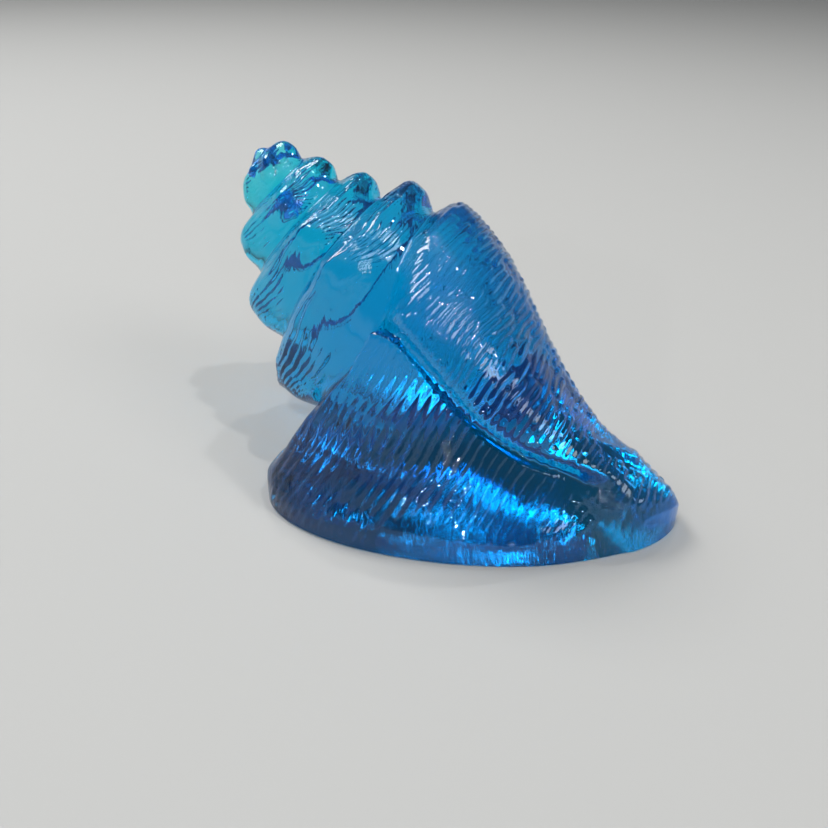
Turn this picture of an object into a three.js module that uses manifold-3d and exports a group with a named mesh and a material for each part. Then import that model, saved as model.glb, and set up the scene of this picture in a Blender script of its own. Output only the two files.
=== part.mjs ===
// A solid conch shell figurine of pressed clear blue glass, standing on its own flat foot.
// Millimetres, +Z up. The origin is on the ground under the middle of the shell's box.
// +X runs toward the siphonal canal, and the lip fans out toward -Y, the side on show.
import * as THREE from 'three';
import { mergeVertices } from 'three/addons/utils/BufferGeometryUtils.js';
import Module from 'manifold-3d';

// ---- the coiling axis -------------------------------------------------------------
const AXIS_HEADING = -30.96;        // degrees from +X, so the canal comes toward the front
const AXIS_DIP = 43.5;              // degrees that the axis drops toward the canal
const AXIS_POINT = [-25.8, 16.9, 35.6];
const AXIS_POINT_DISTANCE = 22.5;   // from the tip of the growth cone
const AXIS_BEND = 0.38;             // the spire stands steeper and the canal lies flatter
const AXIS_BEND_LENGTH = 14.0;
const AXIS_TILT = 0.13;             // the whorls lean a little against the axis
const FRONT_TO_BACK_FLATNESS = 0.86;

// ---- the whorls -------------------------------------------------------------------
const TURN_GROWTH = 1.22;           // each turn is this much longer than the last
const WINDING_START = 24.0;         // before the cone's tip, where turns would shrink to none
const LAST_SUTURE = 35.8;           // where the last turn starts, from the cone's tip
const LAST_DROP = 4.2;              // how far the last suture sinks across the front
const LAST_SUTURE_ANGLE = -23;      // degrees round the axis from its upper side
const LAST_TURN_END = 200;          // degrees, under the shell, where the lip closes
const CONE_SLOPE = 0.66;
const CONE_POWER = 0.82;            // under 1, so the cone is blunt
const APEX_THINNING = 0.25;
const APEX_THINNING_LENGTH = 7.0;
const WHORL_FULLNESS = 1.12;
const SUTURE_DEPTH = 0.28;
const SUTURE_WIDTH = 0.14;          // in turns
const KNOB_HEIGHT = 0.11;
const APEX_KNOBS = 1.3;             // the knobs stand out more on the small whorls
const APEX_KNOBS_LENGTH = 15.0;
const KNOBS_PER_TURN = 5;
const FIRST_KNOB_ANGLE = 57;        // degrees
const KNOB_PLACE = 0.38;            // down the whorl, in turns
const APEX_DISTANCE = 4.3;          // the bead at the apex cuts the cone's tip off here

// ---- the body whorl and the canal -------------------------------------------------
const BODY_FULLNESS = 0.93;
const BODY_SWELL = 0.70;
const BODY_SHOULDER = 0.2;          // in turns, where the last whorl's shape takes over
const BODY_LENGTH = 0.785;          // in units of the last suture's distance
const BODY_FALL = 2.05;
const CANAL_RADIUS = 4.6;

// ---- the fold, where the body whorl steps in behind the lip -------------------------
const FOLD_DEPTH = 0.30;
const FOLD_ANGLE = 53;              // degrees round the axis, where the fold starts
const FOLD_TURN = 11;               // degrees that it drops along the body whorl
const FOLD_RISE = 30;               // degrees that it rises again at the canal
const FOLD_WIDTH = 16;              // degrees over which the body steps in
const FOLD_START = 44;              // distances along the axis
const FOLD_DROP_END = 70;
const FOLD_RISE_START = 70;
const FOLD_RISE_END = 98;
const FOLD_END = 78;
const FOLD_END_LENGTH = 10;

// ---- the foot and the lip that rises from it --------------------------------------
const FOOT_CENTRE = [1.9, -11.2];
const FOOT_TURN = -4.0;             // degrees
const FOOT_HALF_LENGTH = 35.0;
const FOOT_FRONT_WIDTH = 16.9;
const FOOT_BACK_WIDTH = 24.0;
const FOOT_BACK_TAPER = 0.45;
const FOOT_LEAN = 0.13;
const RIM_HEIGHT_LIP = 5.2;
const RIM_HEIGHT_CANAL = 3.2;
const LIP_STEEPNESS = 1.40;
const LIP_STEEPNESS_LENGTH = 56.0;
const LIP_SLOPE = 0.32;
const LIP_CURVE = 0.138;
const LIP_REACH = 16.3;
const LIP_SWELL = 0.36;             // the lip is fuller where it meets the body whorl
const LIP_SWELL_PLACE = -9;
const LIP_SWELL_WIDTH = 11;
const LIP_TOP_ANGLE = 58;           // degrees, how far up round the body the lip goes
const LIP_TOP_MARGIN = 3.0;
const LIP_FLARE = 3.5;              // the lip spreads beyond the last suture at the ground
const LIP_FLARE_HEIGHT = 9.0;
const EDGE_ROUNDING = 1.0;
const CANAL_ROUNDING = 3.0;         // the creases soften toward the canal
const CANAL_MARGIN = 4.0;
const TIP_ROUNDING = 3.0;
const FLOOR_DEPTH = 3.0;            // the rays run this far under the ground before the cut
const MIDDLE = [-1.38, 1.59];       // of the finished box, which becomes the origin

// ---- the mesh ---------------------------------------------------------------------
const ROWS = 84;
const COLUMNS = 60;
const APEX_FAN = 0.10;              // share of the rows that fan over the apex
const CANAL_FAN = 0.12;
const RAY_LENGTH = 75;
const RAY_STEP = 1.0;
const HALVINGS = 16;

const GLASS = new THREE.MeshStandardMaterial({ color: 0x0a78b8, roughness: 0.05, metalness: 0 });

const radians = THREE.MathUtils.degToRad;
const fullTurn = 2 * Math.PI;
const clamp = THREE.MathUtils.clamp;
const ramp = THREE.MathUtils.smoothstep;
const vector = (x, y, z) => new THREE.Vector3(x, y, z);

const heading = vector(Math.cos(radians(AXIS_HEADING)), Math.sin(radians(AXIS_HEADING)), 0);
const dip = radians(AXIS_DIP);
const along = heading.clone().multiplyScalar(Math.cos(dip)).add(vector(0, 0, -Math.sin(dip)));
const upward = heading.clone().multiplyScalar(Math.sin(dip)).add(vector(0, 0, Math.cos(dip)));
const forward = along.clone().cross(upward);
const axisPoint = vector(...AXIS_POINT);

// The larger of two depths, with the crease between them rounded off.
function roundedUnion(a, b, rounding) {
  const share = clamp(0.5 + 0.5 * (a - b) / rounding, 0, 1);
  return b * (1 - share) + a * share + rounding * share * (1 - share);
}

function roundedCut(a, b, rounding) {
  return -roundedUnion(-a, -b, rounding);
}

// How far the bent axis stands off its straight line.
function axisOffset(t) {
  return AXIS_BEND * (Math.hypot(t, AXIS_BEND_LENGTH) - AXIS_BEND_LENGTH);
}

function axisAt(distance) {
  const t = distance - AXIS_POINT_DISTANCE;
  return axisPoint.clone().addScaledVector(along, t).addScaledVector(upward, axisOffset(t));
}

// Where a point lies in the coil: its distance from the cone's tip, its height over the
// axis, its angle round the axis and its distance out from it.
function coilPlace(point) {
  const offset = point.clone().sub(axisPoint);
  const t = offset.dot(along);
  const height = offset.dot(upward) - axisOffset(t);
  const side = offset.dot(forward) / FRONT_TO_BACK_FLATNESS;
  const bend = AXIS_BEND * t / Math.hypot(t, AXIS_BEND_LENGTH);
  const tilt = AXIS_TILT * offset.dot(forward);
  return {
    distance: t + 0.8 * bend * height - tilt + AXIS_POINT_DISTANCE,
    height,
    side,
    angle: Math.atan2(side, height),
    radius: Math.hypot(side, height),
  };
}

// A point's place in the last turn: its angle there, that turn's suture, the number of
// turns past it (negative on the spire) and its share of the way down its own whorl.
function turnPlace(distance, angle) {
  const end = radians(LAST_TURN_END);
  const turned = ((angle - end) % fullTurn + fullTurn) % fullTurn + end - fullTurn;
  const growth = Math.log(TURN_GROWTH);
  const wound = growth * (turned - radians(LAST_SUTURE_ANGLE)) / fullTurn;
  const even = (LAST_SUTURE + WINDING_START) * Math.exp(wound) - WINDING_START;
  const front = ramp(turned, radians(10), radians(65));
  const under = ramp(turned, radians(75), radians(115));
  const suture = even + LAST_DROP * front * (1 - 0.8 * under);
  const far = Math.max(distance + WINDING_START, 0.001);
  const before = Math.log(far / (even + WINDING_START)) / growth;
  return {
    turned,
    suture,
    turns: Math.log(far / (suture + WINDING_START)) / growth,
    share: before < 0 ? before - Math.floor(before) : 1 + before,
  };
}

function coneRadius(distance) {
  return CONE_SLOPE * LAST_SUTURE * (distance / LAST_SUTURE) ** CONE_POWER;
}

function knobShare(turned) {
  const angle = KNOBS_PER_TURN * (turned - radians(FIRST_KNOB_ANGLE));
  return (0.5 + 0.5 * Math.cos(angle)) ** 1.5;
}

// A whorl steps out at its upper suture, bears the knobs and falls in to the next suture.
function spireRadius(distance, { turned, share }) {
  const step = SUTURE_DEPTH * (Math.exp(-((share / SUTURE_WIDTH) ** 1.5)) + share);
  const far = Math.max(distance, 0.001);
  const stronger = 1 + APEX_KNOBS * Math.exp(-((far / APEX_KNOBS_LENGTH) ** 2));
  const bump = KNOB_HEIGHT * (knobShare(turned) - 0.3) * stronger * ramp(share, 0, 0.16)
    * Math.exp(-(((share - KNOB_PLACE) / 0.42) ** 4));
  const thinning = 1 - APEX_THINNING * Math.exp(-far / APEX_THINNING_LENGTH);
  return coneRadius(far) * thinning * (WHORL_FULLNESS - step + bump);
}

// The angle round the axis at which the fold runs.
function foldAngle(distance) {
  const drop = FOLD_TURN * ramp(distance, FOLD_START, FOLD_DROP_END);
  return radians(FOLD_ANGLE + drop - FOLD_RISE * ramp(distance, FOLD_RISE_START, FOLD_RISE_END));
}

// How far the body whorl has stepped in behind the lip, from 0 to 1.
function foldShare(distance, turned) {
  const start = foldAngle(distance);
  const under = ramp(turned, start, start + radians(FOLD_WIDTH));
  const back = ramp(turned, radians(140), radians(195));
  return under * (1 - back) * (1 - clamp((distance - FOLD_END) / FOLD_END_LENGTH, 0, 1));
}

function bodyRadius(distance, { turned, suture, turns }) {
  const past = Math.max(distance - suture, 0) / suture;
  const step = SUTURE_DEPTH * Math.exp(-((turns / SUTURE_WIDTH) ** 1.5));
  const shoulder = (WHORL_FULLNESS - BODY_FULLNESS) * Math.exp(-turns / BODY_SHOULDER);
  const bump = 0.4 * KNOB_HEIGHT * (knobShare(turned) - 0.3)
    * Math.exp(-(((turns - KNOB_PLACE) / 0.40) ** 2));
  const fold = FOLD_DEPTH * foldShare(distance, turned);
  const profile = BODY_FULLNESS * (1 + BODY_SWELL * past) + shoulder - step + bump;
  const full = coneRadius(suture) * profile * (1 - fold) - CANAL_RADIUS;
  const fall = Math.exp(-((past / BODY_LENGTH) ** BODY_FALL));
  return (CANAL_RADIUS + full * fall) * (1 - 0.35 * fold);
}

function shellRadius(distance, turn) {
  return turn.turns < 0 ? spireRadius(distance, turn) : bodyRadius(distance, turn);
}

// The foot is an egg-shaped outline: how far a point is inside it, and its place along it.
function footPlace(point) {
  const turn = radians(FOOT_TURN);
  const dx = point.x - FOOT_CENTRE[0];
  const dy = point.y - FOOT_CENTRE[1];
  const y = -Math.sin(turn) * dx + Math.cos(turn) * dy;
  const x = Math.cos(turn) * dx + Math.sin(turn) * dy - FOOT_LEAN * Math.max(y, 0);
  const share = clamp(x / FOOT_HALF_LENGTH, -1.2, 1.2);
  const width = y < 0 ? FOOT_FRONT_WIDTH : FOOT_BACK_WIDTH * (1 - FOOT_BACK_TAPER * share);
  const rho = Math.max(Math.hypot(x / FOOT_HALF_LENGTH, y / width), 1e-6);
  const slope = Math.hypot(x / FOOT_HALF_LENGTH ** 2, y / width ** 2) / rho;
  return { inside: 0.5 * (1 - rho * rho) / Math.max(slope, 1e-6), x };
}

function edgeRounding(distance) {
  return EDGE_ROUNDING + TIP_ROUNDING * ramp(distance, 76, 90);
}

// The lip climbs from the rim of the foot, ever steeper, to the fold and the last suture.
function lipDepth(point, foot, place, turn) {
  const rimShare = 0.5 * (foot.x / FOOT_HALF_LENGTH + 1);
  const rim = RIM_HEIGHT_LIP + (RIM_HEIGHT_CANAL - RIM_HEIGHT_LIP) * rimShare;
  const swell = LIP_SWELL * Math.exp(-(((foot.x - LIP_SWELL_PLACE) / LIP_SWELL_WIDTH) ** 2));
  const steepness = LIP_STEEPNESS * Math.exp(-foot.x / LIP_STEEPNESS_LENGTH) * (1 + swell);
  const reach = roundedCut(Math.max(foot.inside, -2), LIP_REACH, 3);
  const height = rim + steepness * (LIP_SLOPE * reach + LIP_CURVE * reach * reach);
  const topAngle = radians(LIP_TOP_ANGLE);
  const side = place.side * FRONT_TO_BACK_FLATNESS;
  const margin = LIP_TOP_MARGIN * ramp(place.distance, 40, 54) - 1
    + CANAL_MARGIN * ramp(place.distance, 70, 86);
  const top = side * Math.cos(topAngle) - place.height * Math.sin(topAngle) + margin;
  const slope = roundedCut(0.5 * (height - point.z), 0.7 * top, 1.5);
  const flare = LIP_FLARE * Math.exp(-((point.z / LIP_FLARE_HEIGHT) ** 2));
  const belowSuture = roundedCut(slope, 0.8 * (place.distance + flare - turn.suture), 0.8);
  return roundedCut(belowSuture, foot.inside, edgeRounding(place.distance));
}

// Positive inside the glass and negative outside it.
function glassDepth(point) {
  const place = coilPlace(point);
  const turn = turnPlace(place.distance, place.angle);
  const foot = footPlace(point);
  const coil = roundedCut(
    shellRadius(place.distance, turn) - place.radius,
    place.distance - APEX_DISTANCE, 1.5);
  const overhang = 30 * clamp((68 - place.distance) / 14, 0, 1) * ramp(point.z, 1, 8);
  const inside = foot.inside + overhang;
  const standing = roundedCut(coil, inside, edgeRounding(place.distance));
  const rounding = EDGE_ROUNDING + CANAL_ROUNDING * ramp(place.distance, 72, 88);
  const glass = roundedUnion(standing, lipDepth(point, foot, place, turn), rounding);
  return Math.min(glass, inside, point.z + FLOOR_DEPTH);
}

// A curve inside the glass, from under the apex down through the body to the canal.
const spine = new THREE.CubicBezierCurve3(
  axisAt(APEX_DISTANCE + 4),
  axisAt(AXIS_POINT_DISTANCE + 2).add(vector(0, 0, -1)),
  vector(-6.0, 1.0, 4.0),
  vector(29.0, -16.8, 2.0));

function surfacePoint(start, direction) {
  let inner = 0;
  for (let reach = 0; reach <= RAY_LENGTH; reach += RAY_STEP) {
    if (glassDepth(start.clone().addScaledVector(direction, reach)) > 0) inner = reach;
  }
  let outer = inner + RAY_STEP;
  for (let i = 0; i < HALVINGS; i += 1) {
    const middle = 0.5 * (inner + outer);
    if (glassDepth(start.clone().addScaledVector(direction, middle)) > 0) inner = middle;
    else outer = middle;
  }
  return start.clone().addScaledVector(direction, inner);
}

// One ring of points round the spine. At both ends the rays fan out to a pole.
function ring(share, columns) {
  const place = clamp((share - APEX_FAN) / (1 - APEX_FAN - CANAL_FAN), 0, 1);
  const apexTilt = -Math.max(1 - share / APEX_FAN, 0);
  const canalTilt = Math.max((share - 1 + CANAL_FAN) / CANAL_FAN, 0);
  const tilt = 0.5 * Math.PI * (apexTilt + canalTilt);
  const start = spine.getPoint(place);
  const tangent = spine.getTangent(place);
  const up = vector(0, 0, 1).addScaledVector(tangent, -tangent.z).normalize();
  const side = tangent.clone().cross(up);
  return Array.from({ length: columns }, (_, column) => {
    const angle = fullTurn * column / columns - 0.44 * Math.sin(fullTurn * column / columns);
    const direction = up.clone().multiplyScalar(Math.cos(tilt) * Math.cos(angle))
      .addScaledVector(side, Math.cos(tilt) * Math.sin(angle))
      .addScaledVector(tangent, Math.sin(tilt));
    return surfacePoint(start, direction);
  });
}

function shellGeometry() {
  const points = [ring(0, 1)[0]];
  for (let row = 1; row < ROWS; row += 1) points.push(...ring(row / ROWS, COLUMNS));
  points.push(ring(1, 1)[0]);
  const last = points.length - 1;
  const at = (row, column) => 1 + (row - 1) * COLUMNS + column % COLUMNS;
  const faces = [];
  for (let column = 0; column < COLUMNS; column += 1) {
    faces.push(0, at(1, column + 1), at(1, column));
    for (let row = 1; row < ROWS - 1; row += 1) {
      faces.push(at(row, column), at(row + 1, column + 1), at(row + 1, column));
      faces.push(at(row, column), at(row, column + 1), at(row + 1, column + 1));
    }
    faces.push(at(ROWS - 1, column), at(ROWS - 1, column + 1), last);
  }
  const geometry = new THREE.BufferGeometry().setFromPoints(points);
  geometry.setIndex(faces);
  return geometry;
}

const wasm = await Module();
wasm.setup();

function toSolid(geometry) {
  const plain = geometry.clone();
  plain.deleteAttribute('normal');
  plain.deleteAttribute('uv');
  const merged = mergeVertices(plain, 1e-4);
  return new wasm.Manifold(new wasm.Mesh({
    numProp: 3,
    vertProperties: new Float32Array(merged.attributes.position.array),
    triVerts: new Uint32Array(merged.index.array),
  }));
}

function toGeometry(solid) {
  const mesh = solid.getMesh();
  const geometry = new THREE.BufferGeometry();
  geometry.setAttribute('position', new THREE.BufferAttribute(mesh.vertProperties, 3));
  geometry.setIndex(new THREE.BufferAttribute(mesh.triVerts, 1));
  return geometry;
}

function groundFlat(geometry) {
  const below = new THREE.BoxGeometry(200, 200, 20).translate(0, 0, -10);
  return toGeometry(toSolid(geometry).subtract(toSolid(below)));
}

const geometry = groundFlat(shellGeometry()).translate(-MIDDLE[0], -MIDDLE[1], 0);
const conch = new THREE.Mesh(geometry, GLASS);
conch.name = 'glass_conch';

const group = new THREE.Group();
group.add(conch);

export default group;
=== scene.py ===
"""The looks of a solid glass conch shell figurine: its ribbed surface, glass, floor and light.

The shell is the same form as the CAD part, built much finer, with the moulded ribs, the
knob tips, the fold's raised edge and groove, and the beads at the apex added. Lengths are
millimetres until the mesh is made, and metres from there on.
"""
import math
import bmesh
import bpy
import numpy as np
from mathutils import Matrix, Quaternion, Vector


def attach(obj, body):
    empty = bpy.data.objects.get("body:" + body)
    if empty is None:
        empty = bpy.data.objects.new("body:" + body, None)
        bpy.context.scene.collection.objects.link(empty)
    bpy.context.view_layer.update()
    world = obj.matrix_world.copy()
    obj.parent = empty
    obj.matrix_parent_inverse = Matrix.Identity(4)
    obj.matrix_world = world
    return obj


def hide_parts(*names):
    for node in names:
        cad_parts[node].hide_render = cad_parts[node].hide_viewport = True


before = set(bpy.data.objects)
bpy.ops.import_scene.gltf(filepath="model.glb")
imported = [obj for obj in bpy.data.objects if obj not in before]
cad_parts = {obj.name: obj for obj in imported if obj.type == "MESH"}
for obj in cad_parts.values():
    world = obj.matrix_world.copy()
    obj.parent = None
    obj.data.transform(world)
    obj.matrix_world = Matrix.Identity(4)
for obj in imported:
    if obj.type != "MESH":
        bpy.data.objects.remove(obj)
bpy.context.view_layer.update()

MM = 0.001

# ---- the form, with the same values as the CAD part ----
AXIS_HEADING = math.radians(-30.96)
AXIS_DIP = math.radians(43.5)
AXIS_POINT = np.array([-25.8, 16.9, 35.6])
AXIS_POINT_DISTANCE = 22.5
AXIS_BEND = 0.38
AXIS_BEND_LENGTH = 14.0
AXIS_TILT = 0.13
FLATNESS = 0.86
TURN_GROWTH = 1.22
WINDING_START = 24.0
LAST_DROP = 4.2
LAST_DROP_FRONT = (math.radians(10), math.radians(65))
LAST_DROP_UNDER = (math.radians(75), math.radians(115))
LAST_SUTURE = 35.8
LAST_SUTURE_ANGLE = math.radians(-23)
LAST_TURN_END = math.radians(200)
CONE_SLOPE = 0.66
CONE_POWER = 0.82
APEX_THINNING = 0.25
APEX_THINNING_LENGTH = 7.0
WHORL_FULLNESS = 1.12
SUTURE_DEPTH = 0.28
SUTURE_WIDTH = 0.14
KNOB_HEIGHT = 0.11
APEX_KNOBS = 1.3
APEX_KNOBS_LENGTH = 15.0
KNOBS_PER_TURN = 5
FIRST_KNOB_ANGLE = math.radians(57)
KNOB_PLACE = 0.38
APEX_DISTANCE = 4.3
BODY_FULLNESS = 0.93
BODY_SWELL = 0.70
BODY_SHOULDER = 0.2
BODY_LENGTH = 0.785
BODY_FALL = 2.05
CANAL_RADIUS = 4.6
FOLD_DEPTH = 0.30
FOLD_ANGLE = 53
FOLD_TURN = 11
FOLD_RISE = 30
FOLD_WIDTH = math.radians(16)
FOLD_START = 44
FOLD_DROP_END = 70
FOLD_RISE_START = 70
FOLD_RISE_END = 98
FOLD_END = 78
FOLD_END_LENGTH = 10
FOLD_BACK = (math.radians(140), math.radians(195))
FOOT_CENTRE = np.array([1.9, -11.2])
FOOT_TURN = math.radians(-4.0)
FOOT_HALF_LENGTH = 35.0
FOOT_FRONT_WIDTH = 16.9
FOOT_BACK_WIDTH = 24.0
FOOT_BACK_TAPER = 0.45
FOOT_LEAN = 0.13
RIM_LIP = 5.2
RIM_CANAL = 3.2
LIP_STEEPNESS = 1.40
LIP_STEEPNESS_LENGTH = 56.0
LIP_SLOPE = 0.32
LIP_CURVE = 0.138
LIP_REACH = 16.3
LIP_SWELL = 0.36
LIP_SWELL_PLACE = -9
LIP_SWELL_WIDTH = 11
LIP_TOP_ANGLE = math.radians(58)
LIP_TOP_MARGIN = 3.0
LIP_FLARE = 3.5
LIP_FLARE_HEIGHT = 9.0
EDGE_ROUNDING = 1.0
CANAL_ROUNDING = 3.0
CANAL_MARGIN = 4.0
TIP_ROUNDING = 3.0
LIP_TOP_SPAN = (40, 54)
CANAL_MARGIN_SPAN = (70, 86)
CANAL_ROUNDING_SPAN = (72, 88)
TIP_ROUNDING_SPAN = (76, 90)
OVERHANG = 30
OVERHANG_END = 68
OVERHANG_LENGTH = 14
OVERHANG_HEIGHTS = (1, 8)
FLOOR_DEPTH = 3.0
MIDDLE = np.array([-1.38, 1.59, 0.0])

# ---- the moulded detail ----
LIP_PITCH = 1.5
LIP_RIB = 0.46
BODY_PITCH = 1.15
BODY_RIB = 0.32
RIB_LENGTH = 11.0
RIBS_PER_WHORL = 8
SPIRE_RIB = 0.55
KNOB_TIP = 1.1
FOLD_RIDGE = 0.5
FOLD_GROOVE = 0.9
FOLD_LINE = 0.3
APEX_BEADS = [
    (np.array([-35.2, 21.5, 49.6]), 1.7),
    (np.array([-36.2, 19.6, 47.6]), 1.5),
    (np.array([-33.4, 18.4, 47.8]), 1.8),
    (np.array([-30.8, 21.0, 49.4]), 1.5),
]

# ---- the mesh ----
ROWS = 430
COLUMNS = 225
APEX_FAN = 0.10
CANAL_FAN = 0.12
CROWDING = 0.07
RAY_LENGTH = 76.0
RAY_STEP = 1.0
HALVINGS = 12

heading = np.array([math.cos(AXIS_HEADING), math.sin(AXIS_HEADING), 0.0])
UP = np.array([0.0, 0.0, 1.0])
along = math.cos(AXIS_DIP) * heading - math.sin(AXIS_DIP) * UP
upward = math.sin(AXIS_DIP) * heading + math.cos(AXIS_DIP) * UP
forward = np.cross(along, upward)
GROWTH = math.log(TURN_GROWTH)


def ramp(value, start, end):
    """0 before start, 1 after end, smooth between."""
    share = np.clip((value - start) / (end - start), 0, 1)
    return share * share * (3 - 2 * share)


def rounded_union(a, b, rounding):
    share = np.clip(0.5 + 0.5 * (a - b) / rounding, 0, 1)
    return b * (1 - share) + a * share + rounding * share * (1 - share)


def rounded_cut(a, b, rounding):
    return -rounded_union(-a, -b, rounding)


def axis_at(distance):
    t = distance - AXIS_POINT_DISTANCE
    offset = AXIS_BEND * (math.hypot(t, AXIS_BEND_LENGTH) - AXIS_BEND_LENGTH)
    return AXIS_POINT + t * along + offset * upward


def coil_place(points):
    """Distance along the axis, angle round it and distance out from it."""
    offset = points - AXIS_POINT
    t = offset @ along
    root = np.hypot(t, AXIS_BEND_LENGTH)
    height = offset @ upward - AXIS_BEND * (root - AXIS_BEND_LENGTH)
    side = offset @ forward
    distance = t + 0.8 * AXIS_BEND * t / root * height - AXIS_TILT * side + AXIS_POINT_DISTANCE
    angle = np.arctan2(side / FLATNESS, height)
    return distance, height, side, angle, np.hypot(height, side / FLATNESS)


def turn_place(distance, angle):
    """The angle in the last turn's range, that turn's suture, turns past it, whorl share."""
    turn = 2 * math.pi
    turned = np.mod(angle - LAST_TURN_END, turn) + LAST_TURN_END - turn
    wound = GROWTH * (turned - LAST_SUTURE_ANGLE) / turn
    even = (LAST_SUTURE + WINDING_START) * np.exp(wound) - WINDING_START
    front = ramp(turned, *LAST_DROP_FRONT)
    under = ramp(turned, *LAST_DROP_UNDER)
    suture = even + LAST_DROP * front * (1 - 0.8 * under)
    far = np.maximum(distance + WINDING_START, 0.001)
    before = np.log(far / (even + WINDING_START)) / GROWTH
    share = np.where(before < 0, np.mod(before, 1.0), 1 + before)
    turns = np.log(far / (suture + WINDING_START)) / GROWTH
    return turned, suture, turns, share


def knob_share(turned):
    return (0.5 + 0.5 * np.cos(KNOBS_PER_TURN * (turned - FIRST_KNOB_ANGLE))) ** 1.5


def cone_radius(distance):
    return CONE_SLOPE * LAST_SUTURE * (distance / LAST_SUTURE) ** CONE_POWER


def fold_angle(distance):
    """Where the fold runs, as an angle round the axis."""
    drop = FOLD_TURN * ramp(distance, FOLD_START, FOLD_DROP_END)
    return np.radians(FOLD_ANGLE + drop - FOLD_RISE * ramp(distance, FOLD_RISE_START, FOLD_RISE_END))


def fold_share(distance, turned):
    """How far the body whorl has stepped in behind the lip, from 0 to 1."""
    start = fold_angle(distance)
    under = ramp(turned, start, start + FOLD_WIDTH)
    back = ramp(turned, *FOLD_BACK)
    return under * (1 - back) * (1 - np.clip((distance - FOLD_END) / FOLD_END_LENGTH, 0, 1))


def shell_radius(distance, angle):
    turned, suture, turns, share = turn_place(distance, angle)
    far = np.maximum(distance, 0.001)
    knob = KNOB_HEIGHT * (knob_share(turned) - 0.3)
    step = SUTURE_DEPTH * (np.exp(-(share / SUTURE_WIDTH) ** 1.5) + share)
    stronger = 1 + APEX_KNOBS * np.exp(-(far / APEX_KNOBS_LENGTH) ** 2)
    bump = knob * stronger * ramp(share, 0, 0.16) * np.exp(-((share - KNOB_PLACE) / 0.42) ** 4)
    thinning = 1 - APEX_THINNING * np.exp(-far / APEX_THINNING_LENGTH)
    spire = cone_radius(far) * thinning * (WHORL_FULLNESS - step + bump)
    past = np.maximum(distance - suture, 0) / suture
    late = np.maximum(turns, 0)
    profile = (BODY_FULLNESS * (1 + BODY_SWELL * past)
               + (WHORL_FULLNESS - BODY_FULLNESS) * np.exp(-late / BODY_SHOULDER)
               - SUTURE_DEPTH * np.exp(-(late / SUTURE_WIDTH) ** 1.5)
               + 0.4 * knob * np.exp(-((late - KNOB_PLACE) / 0.40) ** 2))
    fold = FOLD_DEPTH * fold_share(distance, turned)
    full = cone_radius(suture) * profile * (1 - fold) - CANAL_RADIUS
    body = CANAL_RADIUS + full * np.exp(-(past / BODY_LENGTH) ** BODY_FALL)
    return np.where(turns < 0, spire, body * (1 - 0.35 * fold))


def foot_place(points):
    """How far points are inside the foot's outline, and their place along it."""
    d = points[..., :2] - FOOT_CENTRE
    c, s = math.cos(FOOT_TURN), math.sin(FOOT_TURN)
    y = c * d[..., 1] - s * d[..., 0]
    x = c * d[..., 0] + s * d[..., 1] - FOOT_LEAN * np.maximum(y, 0)
    back = FOOT_BACK_WIDTH * (1 - FOOT_BACK_TAPER * np.clip(x / FOOT_HALF_LENGTH, -1.2, 1.2))
    width = np.where(y < 0, FOOT_FRONT_WIDTH, back)
    rho = np.maximum(np.hypot(x / FOOT_HALF_LENGTH, y / width), 1e-6)
    slope = np.hypot(x / FOOT_HALF_LENGTH ** 2, y / width ** 2) / rho
    return 0.5 * (1 - rho * rho) / np.maximum(slope, 1e-6), x


def rim_height(x):
    return RIM_LIP + (RIM_CANAL - RIM_LIP) * 0.5 * (x / FOOT_HALF_LENGTH + 1)


def overhang(points, distance):
    """How far the whorls may stand out past the foot's outline, off the ground."""
    spire = np.clip((OVERHANG_END - distance) / OVERHANG_LENGTH, 0, 1)
    return OVERHANG * spire * ramp(points[..., 2], *OVERHANG_HEIGHTS)


def depths(points):
    """Depth inside the coil and inside the lip, with the places they come from."""
    distance, height, side, angle, radius = coil_place(points)
    inset, x = foot_place(points)
    coil = rounded_cut(shell_radius(distance, angle) - radius, distance - APEX_DISTANCE, 1.5)
    for bead, size in APEX_BEADS:
        coil = rounded_union(coil, size - np.linalg.norm(points - bead, axis=-1), 0.4)
    edge = EDGE_ROUNDING + TIP_ROUNDING * ramp(distance, *TIP_ROUNDING_SPAN)
    coil = rounded_cut(coil, inset + overhang(points, distance), edge)
    reach = rounded_cut(np.maximum(inset, -2), LIP_REACH + 0 * inset, 3)
    swell = LIP_SWELL * np.exp(-((x - LIP_SWELL_PLACE) / LIP_SWELL_WIDTH) ** 2)
    steepness = LIP_STEEPNESS * np.exp(-x / LIP_STEEPNESS_LENGTH) * (1 + swell)
    surface = rim_height(x) + steepness * (LIP_SLOPE * reach + LIP_CURVE * reach ** 2)
    top = (side * math.cos(LIP_TOP_ANGLE) - height * math.sin(LIP_TOP_ANGLE)
           - 1 + LIP_TOP_MARGIN * ramp(distance, *LIP_TOP_SPAN)
           + CANAL_MARGIN * ramp(distance, *CANAL_MARGIN_SPAN))
    lip = rounded_cut(0.5 * (surface - points[..., 2]), 0.7 * top, 1.5)
    flare = LIP_FLARE * np.exp(-(points[..., 2] / LIP_FLARE_HEIGHT) ** 2)
    lip = rounded_cut(lip, 0.8 * (distance + flare - turn_place(distance, angle)[1]), 0.8)
    lip = rounded_cut(lip, inset, edge)
    return coil, lip, inset, distance, angle


def glass_depth(points):
    coil, lip, inset, distance, _ = depths(points)
    rounding = EDGE_ROUNDING + CANAL_ROUNDING * ramp(distance, *CANAL_ROUNDING_SPAN)
    glass = rounded_union(coil, lip, rounding)
    glass = np.minimum(glass, inset + overhang(points, distance))
    return np.minimum(glass, points[..., 2] + FLOOR_DEPTH)


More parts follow.
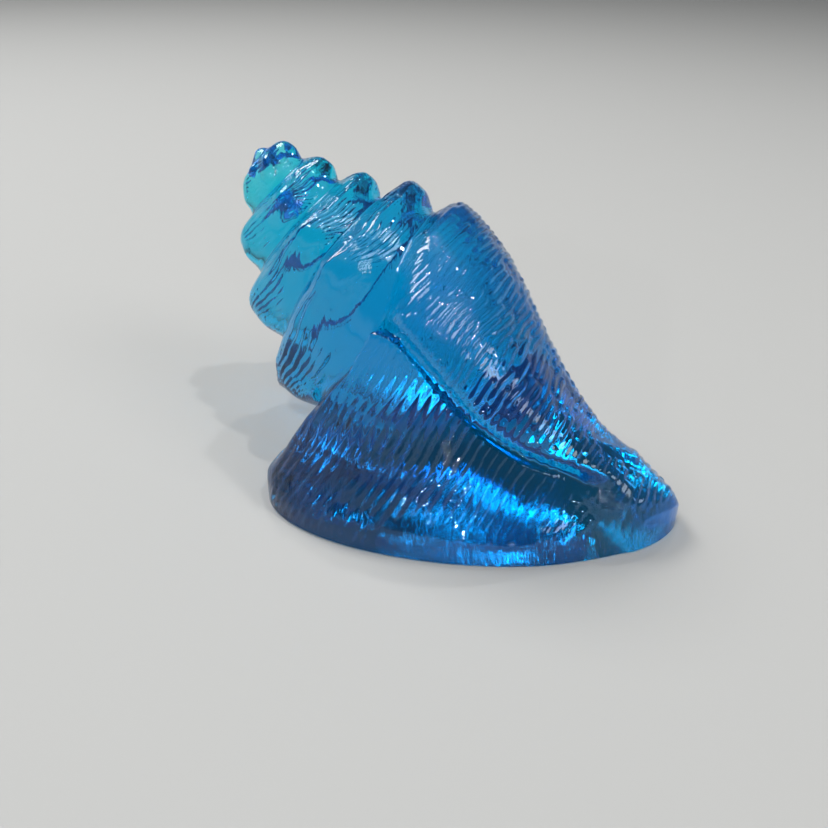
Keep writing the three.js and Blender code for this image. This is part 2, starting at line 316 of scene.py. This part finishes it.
def spine(place):
    """Points and directions on a curve inside the glass, from the apex to the canal."""
    p = place[:, None]
    q = 1 - p
    a = axis_at(APEX_DISTANCE + 4)
    b = axis_at(AXIS_POINT_DISTANCE + 2) - UP
    c = np.array([-6.0, 1.0, 4.0])
    d = np.array([29.0, -16.8, 2.0])
    point = q ** 3 * a + 3 * q * q * p * b + 3 * q * p * p * c + p ** 3 * d
    tangent = q * q * (b - a) + 2 * q * p * (c - b) + p * p * (d - c)
    return point, tangent / np.linalg.norm(tangent, axis=1, keepdims=True)


def surface_grid():
    """Points on the glass: rows from the apex to the canal, columns round the spine."""
    rows = np.linspace(0, 1, ROWS + 1)
    place = np.clip((rows - APEX_FAN) / (1 - APEX_FAN - CANAL_FAN), 0, 1)
    tilt = 0.5 * math.pi * (np.maximum((rows - 1 + CANAL_FAN) / CANAL_FAN, 0)
                            - np.maximum(1 - rows / APEX_FAN, 0))
    start, tangent = spine(place)
    up = UP - (tangent @ UP)[:, None] * tangent
    up /= np.linalg.norm(up, axis=1, keepdims=True)
    side = np.cross(tangent, up)
    column = np.arange(COLUMNS) / COLUMNS
    angle = 2 * math.pi * (column - CROWDING * np.sin(2 * math.pi * column))
    ring = (np.cos(angle)[None, :, None] * up[:, None]
            + np.sin(angle)[None, :, None] * side[:, None])
    ray = (np.cos(tilt)[:, None, None] * ring
           + np.sin(tilt)[:, None, None] * tangent[:, None])
    start = start[:, None]
    inner = np.zeros(ray.shape[:2])
    for reach in np.arange(0, RAY_LENGTH, RAY_STEP):
        inner = np.where(glass_depth(start + ray * reach) > 0, reach, inner)
    outer = inner + RAY_STEP
    for _ in range(HALVINGS):
        middle = 0.5 * (inner + outer)
        solid = glass_depth(start + ray * middle[..., None]) > 0
        inner = np.where(solid, middle, inner)
        outer = np.where(solid, outer, middle)
    return start + ray * inner[..., None]


def lattice(ix, iy, iz, seed):
    """A fixed pseudo-random value from 0 to 1 for each whole-number place."""
    mixed = (ix.astype(np.int64) * 73856093) ^ (iy.astype(np.int64) * 19349663)
    mixed = mixed ^ (iz.astype(np.int64) * 83492791) ^ (seed * 2654435761)
    mixed = (mixed ^ (mixed >> 13)) * 1274126177 & 0x7FFFFFFF
    mixed = (mixed ^ (mixed >> 15)) * 1103515245 & 0x7FFFFFFF
    return mixed / 0x7FFFFFFF


def smooth_noise(points, size, seed):
    """Smooth noise from -1 to 1, with features about size across."""
    place = points / size
    cell = np.floor(place).astype(np.int64)
    part = place - cell
    part = part * part * (3 - 2 * part)
    total = np.zeros(points.shape[:-1])
    for corner in range(8):
        step = np.array([corner & 1, corner >> 1 & 1, corner >> 2 & 1])
        weight = np.prod(np.where(step == 1, part, 1 - part), axis=-1)
        near = cell + step
        total += weight * lattice(near[..., 0], near[..., 1], near[..., 2], seed)
    return 2 * total - 1


def rib_noise(index, seed):
    return lattice(index, index * 0, index * 0, seed)


def finger(across, past_end, half_width):
    """The rounded cross-section of a raised rib, closing in a round end."""
    far = np.hypot(across, np.maximum(past_end, 0)) / half_width
    return np.sqrt(np.clip(1 - far ** 2, 0, 1))


def lip_ribs(points, distance, coil, lip, inset):
    """Raised fingers from under the fold down to the rim, each with round ends."""
    wave = 0.55 * smooth_noise(points, 7.0, 1) + 0.22 * smooth_noise(points, 2.6, 2)
    across = (distance + wave) / LIP_PITCH
    index = np.floor(across)
    off_centre = (across - index - 0.5) * LIP_PITCH
    low_end = 1.3 + 1.5 * rib_noise(index, 3) - inset
    high_end = 0.5 + 1.3 * rib_noise(index, 4) - (lip - coil)
    height = finger(off_centre, np.maximum(low_end, high_end), 0.46 * LIP_PITCH)
    uneven = (0.65 + 0.35 * smooth_noise(points, 4.0, 5)) * (1 + 0.6 * np.exp(-inset / 4))
    return LIP_RIB * height * uneven * (0.6 + 0.4 * rib_noise(index, 6))


def body_ribs(points, distance, angle, radius):
    """Short shallow hairline ribs that run round the body whorl."""
    wave = 0.7 * smooth_noise(points, 9.0, 11) + 0.25 * smooth_noise(points, 3.0, 12)
    across = (distance + wave) / BODY_PITCH
    index = np.floor(across)
    off_centre = (across - index - 0.5) * BODY_PITCH
    run = angle * radius / RIB_LENGTH + 5 * rib_noise(index, 13)
    piece = np.floor(run)
    along_piece = np.abs(run - piece - 0.5) * RIB_LENGTH
    half = RIB_LENGTH * (0.28 + 0.18 * lattice(index, piece, index * 0, 14))
    height = finger(off_centre, along_piece - half, 0.42 * BODY_PITCH)
    return BODY_RIB * height * (0.4 + 0.6 * lattice(index, piece, index * 0, 15))


def spire_ribs(points, distance, angle):
    """Deep ribs between the knobs of each whorl, drawn together at the knobs."""
    turned, _, turns, share = turn_place(distance, angle)
    knob = knob_share(turned)
    spread = 1 - 0.62 * knob
    wave = 0.05 * smooth_noise(points, 4.0, 21) + 0.02 * smooth_noise(points, 1.5, 22)
    across = RIBS_PER_WHORL * ((share - 0.3) / spread + wave)
    index = np.floor(across)
    off_centre = across - index - 0.5
    height = np.sqrt(np.clip(1 - (off_centre / 0.46) ** 2, 0, 1))
    below = KNOBS_PER_TURN * (turned - FIRST_KNOB_ANGLE - math.radians(16))
    facet = ramp(0.5 + 0.5 * np.cos(below), 0.35, 0.8) * ramp(share, 0.30, 0.45)
    edges = ramp(share, 0.02, 0.10) * (1 - ramp(share, 0.86, 0.97))
    uneven = 0.7 + 0.5 * smooth_noise(points, 2.5, 23)
    size = np.clip(distance / LAST_SUTURE, 0.15, 1.0)
    return SPIRE_RIB * size * height * uneven * edges * (1 - 0.93 * facet)


def knob_tips(distance, angle):
    """Pointed tips on the knobs, sharper than the form under them."""
    turned, _, turns, share = turn_place(distance, angle)
    step = 2 * math.pi / KNOBS_PER_TURN
    away = np.abs(np.mod(turned - FIRST_KNOB_ANGLE + step / 2, step) - step / 2)
    size = np.clip(distance / LAST_SUTURE, 0.1, 1.0)
    far = np.hypot(away / 0.16, (share - 0.27) / 0.15)
    front = np.exp(-((turned - FIRST_KNOB_ANGLE) / 0.5) ** 2)
    return KNOB_TIP * size * front * np.exp(-far ** 1.3) * (turns < 0)


def fold(distance, angle, radius):
    """A raised edge along the fold, the groove under it and a fine line below that."""
    turned, suture, turns, _ = turn_place(distance, angle)
    below = (turned - fold_angle(distance)) * radius
    reach = ramp(distance, suture + 1.5, suture + 5) * (1 - ramp(distance, 66, 84))
    ridge = FOLD_RIDGE * np.exp(-((below - 1.2) / 0.8) ** 2)
    groove = FOLD_GROOVE * np.exp(-((below - 3.0) / 0.9) ** 2)
    line = FOLD_LINE * np.exp(-((below - 4.6) / 0.4) ** 2) * (1 - ramp(distance, 54, 66))
    return reach * (turns > 0) * (ridge - groove + line)


def detail(points):
    """How far the finished surface stands off the plain form."""
    coil, lip, inset, distance, angle = depths(points)
    radius = coil_place(points)[4]
    on_lip = ramp(lip - coil, -0.2, 0.5) * ramp(inset, 0.7, 1.3)
    spire = ramp(-turn_place(distance, angle)[2], -0.05, 0.0) * (1 - on_lip)
    on_body = (1 - on_lip) * (1 - spire)
    off_crease = ramp(np.abs(coil - lip), 0.3, 1.0)
    above = ramp(points[..., 2], 0.3, 2.0) * ramp(inset + 30 * (distance < 60), 0.6, 1.4)
    return above * (on_lip * lip_ribs(points, distance, coil, lip, inset)
                    + on_body * off_crease * body_ribs(points, distance, angle, radius)
                    + spire * off_crease * spire_ribs(points, distance, angle)
                    + spire * knob_tips(distance, angle)
                    + fold(distance, angle, radius))


def outward(points):
    """The direction out of the glass at each point."""
    step = 0.02
    slope = np.stack([glass_depth(points + step * axis) - glass_depth(points - step * axis)
                      for axis in np.eye(3)], axis=-1)
    return -slope / np.maximum(np.linalg.norm(slope, axis=-1, keepdims=True), 1e-9)


def build_mesh():
    grid = surface_grid()
    points = grid.reshape(-1, 3)
    points = points + outward(points) * detail(points)[:, None] - MIDDLE
    faces = []
    for row in range(ROWS):
        for column in range(COLUMNS):
            after = (column + 1) % COLUMNS
            a, b = row * COLUMNS + column, row * COLUMNS + after
            faces.append((a, b, b + COLUMNS, a + COLUMNS))
    mesh = bpy.data.meshes.new("glass_shell")
    mesh.from_pydata((points * MM).tolist(), [], faces)
    work = bmesh.new()
    work.from_mesh(mesh)
    bmesh.ops.remove_doubles(work, verts=work.verts, dist=1e-7)
    bmesh.ops.recalc_face_normals(work, faces=work.faces)
    cut = bmesh.ops.bisect_plane(work, geom=work.verts[:] + work.edges[:] + work.faces[:],
                                 plane_co=(0, 0, 0), plane_no=(0, 0, 1), clear_inner=True)
    rim = [item for item in cut["geom_cut"] if isinstance(item, bmesh.types.BMEdge)]
    for face in work.faces:
        face.smooth = True
    base = bmesh.ops.edgeloop_fill(work, edges=rim)["faces"]
    for face in base:
        face.smooth = False
    for edge in rim:
        edge.smooth = False
    bmesh.ops.recalc_face_normals(work, faces=work.faces)
    work.to_mesh(mesh)
    work.free()
    return mesh


def clearing(nodes, links):
    """A tint that pales toward the apex, where the glass is nearly clear."""
    start = float((AXIS_POINT - MIDDLE) @ along)
    place = nodes.new("ShaderNodeTexCoord")
    dot = nodes.new("ShaderNodeVectorMath")
    dot.operation = "DOT_PRODUCT"
    dot.inputs[1].default_value = tuple(along)
    share = nodes.new("ShaderNodeMapRange")
    share.inputs["From Min"].default_value = (start + 5 - AXIS_POINT_DISTANCE) * MM
    share.inputs["From Max"].default_value = (start + 45 - AXIS_POINT_DISTANCE) * MM
    tints = nodes.new("ShaderNodeValToRGB")
    tints.color_ramp.elements[0].color = (0.90, 0.97, 1.0, 1)
    tints.color_ramp.elements[1].color = (0.04, 0.60, 1.0, 1)
    spire = tints.color_ramp.elements.new(0.22)
    spire.color = (0.20, 0.80, 1.0, 1)
    links.new(place.outputs["Object"], dot.inputs[0])
    links.new(dot.outputs["Value"], share.inputs["Value"])
    links.new(share.outputs["Result"], tints.inputs["Fac"])
    return tints.outputs["Color"]


def glass_material():
    """Clear blue glass: plain transmission with absorption, and fine flow lines."""
    material = bpy.data.materials.new("blue_glass")
    material.use_nodes = True
    nodes, links = material.node_tree.nodes, material.node_tree.links
    shader = nodes["Principled BSDF"]
    links.new(clearing(nodes, links), shader.inputs["Base Color"])
    shader.inputs["Transmission Weight"].default_value = 1.0
    shader.inputs["Roughness"].default_value = 0.02
    shader.inputs["IOR"].default_value = 1.5
    volume = nodes.new("ShaderNodeVolumeAbsorption")
    volume.inputs["Color"].default_value = (0.0, 0.945, 0.98, 1)
    volume.inputs["Density"].default_value = 260.0
    links.new(volume.outputs["Volume"], nodes["Material Output"].inputs["Volume"])
    place = nodes.new("ShaderNodeTexCoord")
    turned = nodes.new("ShaderNodeMapping")
    turned.inputs["Rotation"].default_value = (0, AXIS_DIP, AXIS_HEADING)
    turned.inputs["Scale"].default_value = (900, 120, 160)
    waves = nodes.new("ShaderNodeTexNoise")
    waves.inputs["Scale"].default_value = 1.0
    waves.inputs["Detail"].default_value = 3.0
    bump = nodes.new("ShaderNodeBump")
    bump.inputs["Strength"].default_value = 0.9
    bump.inputs["Distance"].default_value = 0.00012
    links.new(place.outputs["Object"], turned.inputs["Vector"])
    links.new(turned.outputs["Vector"], waves.inputs["Vector"])
    links.new(waves.outputs["Fac"], bump.inputs["Height"])
    links.new(bump.outputs["Normal"], shader.inputs["Normal"])
    return material


shell = bpy.data.objects.new("glass_shell", build_mesh())
bpy.context.scene.collection.objects.link(shell)
shell.data.materials.append(glass_material())
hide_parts("glass_conch")
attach(shell, "root")


# ---- the stage ----
def plain_material(name, colour, roughness):
    material = bpy.data.materials.new(name)
    material.use_nodes = True
    shader = material.node_tree.nodes["Principled BSDF"]
    shader.inputs["Base Color"].default_value = (*colour, 1)
    shader.inputs["Roughness"].default_value = roughness
    return material


floor_mesh = bpy.data.meshes.new("floor")
floor_mesh.from_pydata([(-3, -3, 0), (3, -3, 0), (3, 3, 0), (-3, 3, 0)], [], [(0, 1, 2, 3)])
floor = bpy.data.objects.new("floor", floor_mesh)
floor.location.z = -0.0002
bpy.context.scene.collection.objects.link(floor)
floor_mesh.materials.append(plain_material("floor", (0.40, 0.40, 0.39), 0.8))


def area_light(name, place, target, size, power):
    data = bpy.data.lights.new(name, "AREA")
    data.shape = "DISK"
    data.size = size
    data.energy = power
    lamp = bpy.data.objects.new(name, data)
    lamp.location = place
    lamp.rotation_euler = (Vector(target) - Vector(place)).to_track_quat("-Z", "Y").to_euler()
    bpy.context.scene.collection.objects.link(lamp)


area_light("window", (-0.45, 0.35, 0.75), (0, 0, 0.02), 0.50, 7.0)
area_light("fill", (0.6, -0.4, 0.6), (0, 0, 0.02), 0.40, 2.2)
area_light("lamp_left", (-0.15, -0.3, 0.8), (0, 0, 0.02), 0.03, 1.5)
area_light("lamp_right", (0.25, -0.15, 0.8), (0, 0, 0.02), 0.03, 1.5)
area_light("lamp_back", (0.1, 0.3, 0.8), (0, 0, 0.02), 0.03, 1.0)
area_light("lamp_front", (0.20, -0.75, 0.25), (0, 0, 0.02), 0.025, 0.5)
area_light("lamp_side", (-0.40, -0.60, 0.35), (0, 0, 0.02), 0.025, 0.5)


def soft_room():
    """A grey room: a pale band of windows just over the horizon, and a dim ceiling."""
    world = bpy.data.worlds.new("soft_room")
    world.use_nodes = True
    nodes, links = world.node_tree.nodes, world.node_tree.links
    place = nodes.new("ShaderNodeTexCoord")
    split = nodes.new("ShaderNodeSeparateXYZ")
    shades = nodes.new("ShaderNodeValToRGB")
    shades.color_ramp.elements[0].position = 0.0
    shades.color_ramp.elements[0].color = (0.45, 0.47, 0.48, 1)
    shades.color_ramp.elements[1].position = 1.0
    shades.color_ramp.elements[1].color = (0.22, 0.23, 0.24, 1)
    for height, shade in ((0.08, 0.72), (0.18, 0.60), (0.30, 0.12), (0.6, 0.10)):
        band = shades.color_ramp.elements.new(height)
        band.color = (shade * 0.97, shade, shade * 1.02, 1)
    links.new(place.outputs["Generated"], split.inputs["Vector"])
    links.new(split.outputs["Z"], shades.inputs["Fac"])
    links.new(shades.outputs["Color"], nodes["Background"].inputs["Color"])
    return world


bpy.context.scene.world = soft_room()

# ---- the camera ----
camera_data = bpy.data.cameras.new("camera")
camera_data.sensor_width = 36
camera_data.lens = 37.32
camera_data.clip_start = 0.001
camera = bpy.data.objects.new("camera", camera_data)
camera.location = (-0.00662, -0.13259, 0.0889)
camera.rotation_mode = "QUATERNION"
pitch = Quaternion((1, 0, 0), math.radians(90 - 30.9))
camera.rotation_quaternion = pitch @ Quaternion((0, 0, 1), math.radians(1.07))
bpy.context.scene.collection.objects.link(camera)
bpy.context.scene.camera = camera
bpy.context.scene.view_settings.view_transform = "Standard"
